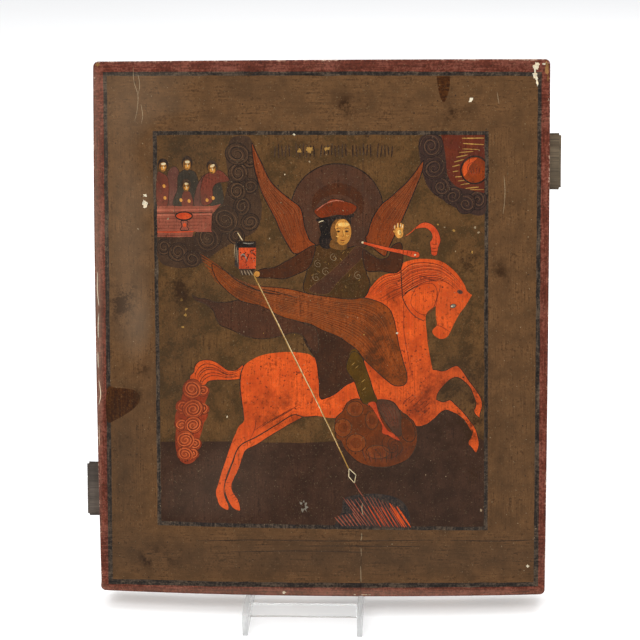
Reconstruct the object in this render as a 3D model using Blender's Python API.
"""A painted icon panel of two planks with opposed battens, leaning on a clear stand.

Metres, +Z up, the painted front towards -Y. The panel's own directions are across (to the
right), up (from its bottom edge to its top) and deep (from its front into the wood); lean()
turns a place given in them into world coordinates.
"""
import math

import bmesh
import bpy
from mathutils import Vector

# Panel outline, seen from the front
PANEL_WIDTH = 0.2622
TOP_WIDER_BY = 0.0007
PANEL_HEIGHT = 0.3110
LEFT_BOW = 0.0011
RIGHT_BOW = 0.0005
BOTTOM_BOW = 0.0008
CORNER_RADIUS = 0.0030

# Panel section: the boards have cupped, so the front stands out in the middle
PANEL_THICKNESS = 0.0250
CUP_RISE = 0.0060
ARRIS_ROUND = 0.0010
SEAM_FROM_MIDDLE = 0.0243

# Battens, tapered along their length and undercut like a dovetail
BATTEN_WIDE_END = 0.0335
BATTEN_NARROW_END = 0.0270
BATTEN_THICKNESS = 0.0130
BATTEN_LET_IN = 0.0065
BATTEN_UNDERCUT_DEG = 15.0
UPPER_BATTEN_STICKS_OUT = 0.0076
LOWER_BATTEN_STICKS_OUT = 0.0092
BATTEN_ENDS_SHORT = 0.0030
BATTEN_ROUND = 0.0012
UPPER_BATTEN_BELOW_TOP = 0.0581
LOWER_BATTEN_UP = 0.0588

# How the panel leans, and the stand under it
LEAN_DEG = 12.0
SHEET_THICKNESS = 0.0032
STAND_BASE_HEIGHT = 0.0134
STAND_BASE_FRONT = 0.0270
STAND_BASE_REAR = 0.0980
STAND_SPACING = 0.0658
STAND_FROM_MIDDLE = -0.0097
NOTCH_DEPTH = 0.0017
NOTCH_AHEAD_OF_PANEL = 0.0012
REST_BELOW_TOP = 0.0490
REST_DEPTH_AT_FOOT = 0.0220
REST_DEPTH_AT_TOP = 0.0120
REST_FILLET = 0.0200
SHEET_CORNER = 0.0030
SHEET_ARRIS = 0.0003
CROSS_BAR_HEIGHT = 0.0080
FRONT_BAR_FROM_END = 0.0125
REAR_BAR_FROM_END = 0.0160
UPPER_BAR_BELOW_REST_TOP = 0.1060
UPPER_BAR_BEHIND_REST = 0.0030

# Spaces between pieces that touch, and how finely curves are cut
GAP = 0.0003
CUTTER_OVERRUN = 0.0200
FRONT_STRIPS = 28
EDGE_STEPS = 10
CORNER_STEPS = 4
FILLET_STEPS = 8
ARRIS_STEPS = 2

# Material colours, linear
TEMPERA_BROWN = (0.115, 0.066, 0.035)
OLD_PINE = (0.150, 0.105, 0.070)
CLEAR_ACRYLIC = (0.92, 0.94, 0.95)

BACK_OF_BATTENS = PANEL_THICKNESS - BATTEN_LET_IN + BATTEN_THICKNESS
FRONT_OF_BATTENS = PANEL_THICKNESS - BATTEN_LET_IN
REST_FACE = BACK_OF_BATTENS + GAP
LEDGE_UP = -(BOTTOM_BOW + GAP)
REST_HEIGHT = PANEL_HEIGHT - REST_BELOW_TOP
UPPER_BATTEN_UP = PANEL_HEIGHT - UPPER_BATTEN_BELOW_TOP


def clear_scene():
    """Remove whatever the open file holds."""
    for item in list(bpy.data.objects):
        bpy.data.objects.remove(item, do_unlink=True)


def lean_directions():
    """The panel's up and deep directions in the world's Y and Z."""
    angle = math.radians(LEAN_DEG)
    return Vector((0.0, math.sin(angle), math.cos(angle))), Vector((0.0, math.cos(angle), -math.sin(angle)))


def depth_reach():
    """How far back the object reaches behind the panel's lower front edge."""
    up, deep = lean_directions()
    panel_back = (up * PANEL_HEIGHT + deep * (PANEL_THICKNESS + CUP_RISE)).y
    rest_back = (up * REST_HEIGHT + deep * (REST_FACE + REST_DEPTH_AT_TOP)).y
    return max(STAND_BASE_REAR, panel_back, rest_back)


def panel_origin():
    """Place of the panel's lower front edge, with the whole object centred on the origin."""
    up, _ = lean_directions()
    across_middle = (upper_batten_ends()[0] + lower_batten_ends()[0]) / 2
    deep_middle = (depth_reach() - STAND_BASE_FRONT) / 2
    ledge_height = STAND_BASE_HEIGHT - NOTCH_DEPTH
    return Vector((-across_middle, -deep_middle, ledge_height - up.z * LEDGE_UP))


def lean(across, up, deep):
    """World place of a point given in the panel's own directions."""
    up_direction, deep_direction = lean_directions()
    return panel_origin() + Vector((across, 0.0, 0.0)) + up_direction * up + deep_direction * deep


def cup(across):
    """How far the front (and the back) falls behind its middle at a place across."""
    return CUP_RISE * (across / (PANEL_WIDTH / 2)) ** 2


def hump(share):
    """A curve that rises from 0 at the ends to 1 in the middle."""
    return 4.0 * share * (1.0 - share)


def half_width(share_up):
    """Half the panel's width, without its bow, at a share of its height."""
    return (PANEL_WIDTH + TOP_WIDER_BY * (share_up - 0.5)) / 2


def right_edge(up):
    """Right edge of the panel at a height."""
    share = up / PANEL_HEIGHT
    return half_width(share) + RIGHT_BOW * hump(share)


def left_edge(up):
    """Left edge of the panel at a height."""
    share = up / PANEL_HEIGHT
    return -half_width(share) - LEFT_BOW * hump(share)


def bottom_edge(across):
    """Bottom edge of the panel at a place across; the top edge is straight."""
    return -BOTTOM_BOW * hump(across / PANEL_WIDTH + 0.5)


def corner(across, up, start_deg):
    """Points of a rounded corner, anticlockwise about its centre."""
    points = []
    for step in range(CORNER_STEPS + 1):
        angle = math.radians(start_deg + 90.0 * step / CORNER_STEPS)
        points.append((across + CORNER_RADIUS * math.cos(angle), up + CORNER_RADIUS * math.sin(angle)))
    return points


def steps_between(start, end):
    """Evenly spaced values between two ends, without the ends."""
    return [start + (end - start) * step / EDGE_STEPS for step in range(1, EDGE_STEPS)]


def right_plank_outline(seam):
    """Front outline of the plank on the right of the seam, anticlockwise."""
    low = CORNER_RADIUS
    high = PANEL_HEIGHT - CORNER_RADIUS
    low_corner = right_edge(low) - CORNER_RADIUS
    high_corner = right_edge(high) - CORNER_RADIUS
    points = [(seam, bottom_edge(seam))]
    points += [(across, bottom_edge(across)) for across in steps_between(seam, low_corner)]
    points += corner(low_corner, low + bottom_edge(low_corner), 270.0)
    points += [(right_edge(up), up) for up in steps_between(low, high)]
    points += corner(high_corner, high, 0.0)
    points.append((seam, PANEL_HEIGHT))
    return points


def left_plank_outline(seam):
    """Front outline of the plank on the left of the seam, anticlockwise."""
    low = CORNER_RADIUS
    high = PANEL_HEIGHT - CORNER_RADIUS
    low_corner = left_edge(low) + CORNER_RADIUS
    high_corner = left_edge(high) + CORNER_RADIUS
    points = [(seam, PANEL_HEIGHT)]
    points += corner(high_corner, high, 90.0)
    points += [(left_edge(up), up) for up in steps_between(high, low)]
    points += corner(low_corner, low + bottom_edge(low_corner), 180.0)
    points += [(across, bottom_edge(across)) for across in steps_between(low_corner, seam)]
    points.append((seam, bottom_edge(seam)))
    return points


def extruded(outline, place, thickness):
    """A closed bmesh: the outline, laid by place(), thickened along a direction."""
    mesh = bmesh.new()
    ring = [mesh.verts.new(place(*point)) for point in outline]
    face = mesh.faces.new(ring)
    moved = bmesh.ops.extrude_face_region(mesh, geom=[face])["geom"]
    bmesh.ops.translate(mesh, verts=[v for v in moved if isinstance(v, bmesh.types.BMVert)], vec=thickness)
    bmesh.ops.recalc_face_normals(mesh, faces=mesh.faces[:])
    return mesh


def new_object(name, mesh, material):
    """Store a bmesh as a named object with its material."""
    data = bpy.data.meshes.new(name)
    mesh.to_mesh(data)
    mesh.free()
    data.materials.append(material)
    item = bpy.data.objects.new(name, data)
    bpy.context.collection.objects.link(item)
    return item


def finish(name, colour, roughness, clear=False):
    """A Principled material for one kind of surface."""
    material = bpy.data.materials.new(name)
    material.use_nodes = True
    shader = material.node_tree.nodes["Principled BSDF"]
    shader.inputs["Base Color"].default_value = (*colour, 1.0)
    shader.inputs["Roughness"].default_value = roughness
    shader.inputs["Metallic"].default_value = 0.0
    if clear:
        shader.inputs["Transmission Weight"].default_value = 1.0
        shader.inputs["IOR"].default_value = 1.49
    return material


def round_outer_edges(mesh, seam, width, steps):
    """Ease the front and back edges of a plank, but not those of its glued side."""
    chosen = []
    for edge in mesh.edges:
        if edge.calc_face_angle(0.0) < math.radians(40.0):
            continue
        if all(abs(vert.co.x - seam) < GAP for vert in edge.verts):
            continue
        along_thickness = abs(edge.verts[0].co.z - edge.verts[1].co.z) > PANEL_THICKNESS / 2
        if not along_thickness:
            chosen.append(edge)
    bmesh.ops.bevel(mesh, geom=chosen, offset=width, segments=steps, affect="EDGES", clamp_overlap=True)


def plank(name, outline, seam, grooves, material):
    """One plank: its outline thickened, eased, cupped, leaned and grooved."""
    mesh = extruded(outline, lambda across, up: Vector((across, up, 0.0)), Vector((0.0, 0.0, PANEL_THICKNESS)))
    round_outer_edges(mesh, seam, ARRIS_ROUND, ARRIS_STEPS)
    for strip in range(1, FRONT_STRIPS):
        across = PANEL_WIDTH * (strip / FRONT_STRIPS - 0.5)
        whole = mesh.verts[:] + mesh.edges[:] + mesh.faces[:]
        bmesh.ops.bisect_plane(mesh, geom=whole, plane_co=(across, 0.0, 0.0), plane_no=(1.0, 0.0, 0.0))
    for vert in mesh.verts:
        vert.co = lean(vert.co.x, vert.co.y, vert.co.z + cup(vert.co.x))
    bmesh.ops.recalc_face_normals(mesh, faces=mesh.faces[:])
    item = new_object(name, mesh, material)
    for groove in grooves:
        cut = item.modifiers.new("groove for " + groove.name, "BOOLEAN")
        cut.operation = "DIFFERENCE"
        cut.object = groove
    return item


def tapered_dovetail(start, end, start_width, end_width, front, back, middle_up, spread):
    """A bar across the panel, tapered along its length and undercut, spread by a clearance."""
    undercut = math.tan(math.radians(BATTEN_UNDERCUT_DEG))
    mesh = bmesh.new()
    rings = []
    for across, width in ((start, start_width), (end, end_width)):
        wide = width / 2 + spread
        narrow = wide - undercut * (back - front)
        corners = ((wide, front), (-wide, front), (-narrow, back), (narrow, back))
        rings.append([mesh.verts.new(lean(across, middle_up + up, deep)) for up, deep in corners])
    mesh.faces.new(rings[0])
    mesh.faces.new(rings[1][::-1])
    for index in range(4):
        following = (index + 1) % 4
        mesh.faces.new((rings[0][index], rings[0][following], rings[1][following], rings[1][index]))
    bmesh.ops.recalc_face_normals(mesh, faces=mesh.faces[:])
    return mesh


def upper_batten_ends():
    """Where the upper batten's wide and narrow ends lie across: it is driven in from the right."""
    wide_end = right_edge(UPPER_BATTEN_UP) + UPPER_BATTEN_STICKS_OUT
    return wide_end, left_edge(UPPER_BATTEN_UP) + BATTEN_ENDS_SHORT


def lower_batten_ends():
    """Where the lower batten's wide and narrow ends lie across: it is driven in from the left."""
    wide_end = left_edge(LOWER_BATTEN_UP) - LOWER_BATTEN_STICKS_OUT
    return wide_end, right_edge(LOWER_BATTEN_UP) - BATTEN_ENDS_SHORT


def batten_width_at(across, ends):
    """Width of a batten at a place across, on the taper through its two ends."""
    wide_end, narrow_end = ends
    share = (across - wide_end) / (narrow_end - wide_end)
    return BATTEN_WIDE_END + (BATTEN_NARROW_END - BATTEN_WIDE_END) * share


def batten(name, ends, middle_up, material):
    """A batten between its wide and narrow ends, its edges eased."""
    wide_end, narrow_end = ends
    mesh = tapered_dovetail(wide_end, narrow_end, BATTEN_WIDE_END, BATTEN_NARROW_END,
                            FRONT_OF_BATTENS, BACK_OF_BATTENS, middle_up, 0.0)
    bmesh.ops.bevel(mesh, geom=mesh.edges[:], offset=BATTEN_ROUND, segments=ARRIS_STEPS, affect="EDGES")
    return new_object(name, mesh, material)


def groove_cutter(name, ends, middle_up, material):
    """The groove for a batten: its own shape with a clearance, running out past both sides."""
    side = math.copysign(1.0, ends[0])
    start = ends[0] + side * CUTTER_OVERRUN
    end = ends[1] - side * CUTTER_OVERRUN
    front = FRONT_OF_BATTENS - GAP
    back = BACK_OF_BATTENS + CUTTER_OVERRUN
    undercut = math.tan(math.radians(BATTEN_UNDERCUT_DEG))
    spread = GAP / math.cos(math.radians(BATTEN_UNDERCUT_DEG)) + GAP * undercut
    mesh = tapered_dovetail(start, end, batten_width_at(start, ends), batten_width_at(end, ends),
                            front, back, middle_up, spread)
    cutter = new_object(name, mesh, material)
    cutter.hide_render = True
    cutter.display_type = "WIRE"
    return cutter


def rounded(points, radii):
    """A polygon of (y, z) corners, each rounded by its own radius with a short arc."""
    outline = []
    for index, (here, radius) in enumerate(zip(points, radii)):
        corner_point = Vector(here)
        before = (Vector(points[index - 1]) - corner_point).normalized()
        after = (Vector(points[(index + 1) % len(points)]) - corner_point).normalized()
        if radius == 0.0:
            outline.append(tuple(corner_point))
            continue
        half_angle = before.angle(after) / 2
        reach = radius / math.tan(half_angle)
        centre = corner_point + (before + after).normalized() * (radius / math.sin(half_angle))
        start = corner_point + before * reach - centre
        end = corner_point + after * reach - centre
        for step in range(FILLET_STEPS + 1):
            outline.append(tuple(centre + start.slerp(end, step / FILLET_STEPS) * radius))
    return outline


def side_plate_outline():
    """Side view of a stand plate: base, notch with its ledge, leaning rest and the fillet behind it."""
    origin = panel_origin()
    front = origin.y - STAND_BASE_FRONT
    rear = origin.y + STAND_BASE_REAR
    ledge_front = lean(0.0, LEDGE_UP, -NOTCH_AHEAD_OF_PANEL)
    ledge_back = lean(0.0, LEDGE_UP, REST_FACE)
    rest_front = lean(0.0, REST_HEIGHT, REST_FACE)
    rest_back = lean(0.0, REST_HEIGHT, REST_FACE + REST_DEPTH_AT_TOP)
    rest_foot = lean(0.0, LEDGE_UP, REST_FACE + REST_DEPTH_AT_FOOT)
    share = (STAND_BASE_HEIGHT - rest_foot.z) / (rest_back.z - rest_foot.z)
    heel = rest_foot.lerp(rest_back, share)
    points = [
        (front, 0.0), (rear, 0.0), (rear, STAND_BASE_HEIGHT), (heel.y, STAND_BASE_HEIGHT),
        (rest_back.y, rest_back.z), (rest_front.y, rest_front.z), (ledge_back.y, ledge_back.z),
        (ledge_front.y, ledge_front.z), (ledge_front.y, STAND_BASE_HEIGHT), (front, STAND_BASE_HEIGHT),
    ]
    radii = [0.0, 0.0, SHEET_CORNER, REST_FILLET, SHEET_CORNER, SHEET_CORNER, 0.0, 0.0, 0.0, 0.0]
    return rounded(points, radii)


def plate_middle(side):
    """Place across of a stand plate's middle plane (-1 left, +1 right)."""
    return panel_origin().x + STAND_FROM_MIDDLE + side * STAND_SPACING / 2


def side_plate(name, side, material):
    """One side plate of the stand, sawn from clear sheet with its edges just broken."""
    near = plate_middle(side) - SHEET_THICKNESS / 2
    mesh = extruded(side_plate_outline(), lambda y, z: Vector((near, y, z)), Vector((SHEET_THICKNESS, 0.0, 0.0)))
    rims = [edge for edge in mesh.edges if abs(edge.verts[0].co.x - edge.verts[1].co.x) < GAP]
    bmesh.ops.bevel(mesh, geom=rims, offset=SHEET_ARRIS, segments=1, affect="EDGES")
    return new_object(name, mesh, material)


def cross_bar(name, corners, material):
    """A strip of clear sheet between the side plates, given by its side view."""
    start = plate_middle(-1) + SHEET_THICKNESS / 2 + GAP
    length = STAND_SPACING - SHEET_THICKNESS - 2 * GAP
    mesh = extruded(corners, lambda y, z: Vector((start, y, z)), Vector((length, 0.0, 0.0)))
    bmesh.ops.bevel(mesh, geom=mesh.edges[:], offset=SHEET_ARRIS, segments=1, affect="EDGES")
    return new_object(name, mesh, material)


def upright_bar_corners(front):
    """Side view of a bar on edge, its top level with the base's."""
    top = STAND_BASE_HEIGHT
    low = top - CROSS_BAR_HEIGHT
    back = front + SHEET_THICKNESS
    return [(front, low), (back, low), (back, top), (front, top)]


def leaning_bar_corners():
    """Side view of the bar between the rests, leaning as they do."""
    near = REST_FACE + UPPER_BAR_BEHIND_REST
    far = near + SHEET_THICKNESS
    high = REST_HEIGHT - UPPER_BAR_BELOW_REST_TOP
    low = high - CROSS_BAR_HEIGHT
    places = [lean(0.0, up, deep) for up, deep in ((low, near), (low, far), (high, far), (high, near))]
    return [(place.y, place.z) for place in places]


def build_panel():
    """The two planks and the battens that hold them flat."""
    paint = finish("tempera on pine", TEMPERA_BROWN, 0.45)
    wood = finish("old pine", OLD_PINE, 0.80)
    batten("upper_batten", upper_batten_ends(), UPPER_BATTEN_UP, wood)
    batten("lower_batten", lower_batten_ends(), LOWER_BATTEN_UP, wood)
    grooves = [
        groove_cutter("upper_groove", upper_batten_ends(), UPPER_BATTEN_UP, wood),
        groove_cutter("lower_groove", lower_batten_ends(), LOWER_BATTEN_UP, wood),
    ]
    left_seam = SEAM_FROM_MIDDLE - GAP / 2
    right_seam = SEAM_FROM_MIDDLE + GAP / 2
    plank("plank_left", left_plank_outline(left_seam), left_seam, grooves, paint)
    plank("plank_right", right_plank_outline(right_seam), right_seam, grooves, paint)


def build_stand():
    """The clear stand: two side plates and three cross bars."""
    acrylic = finish("clear acrylic", CLEAR_ACRYLIC, 0.05, clear=True)
    front = panel_origin().y - STAND_BASE_FRONT
    rear = panel_origin().y + STAND_BASE_REAR
    side_plate("stand_left_plate", -1, acrylic)
    side_plate("stand_right_plate", 1, acrylic)
    cross_bar("stand_front_bar", upright_bar_corners(front + FRONT_BAR_FROM_END), acrylic)
    cross_bar("stand_rear_bar", upright_bar_corners(rear - REAR_BAR_FROM_END), acrylic)
    cross_bar("stand_upper_bar", leaning_bar_corners(), acrylic)


clear_scene()
build_panel()
build_stand()
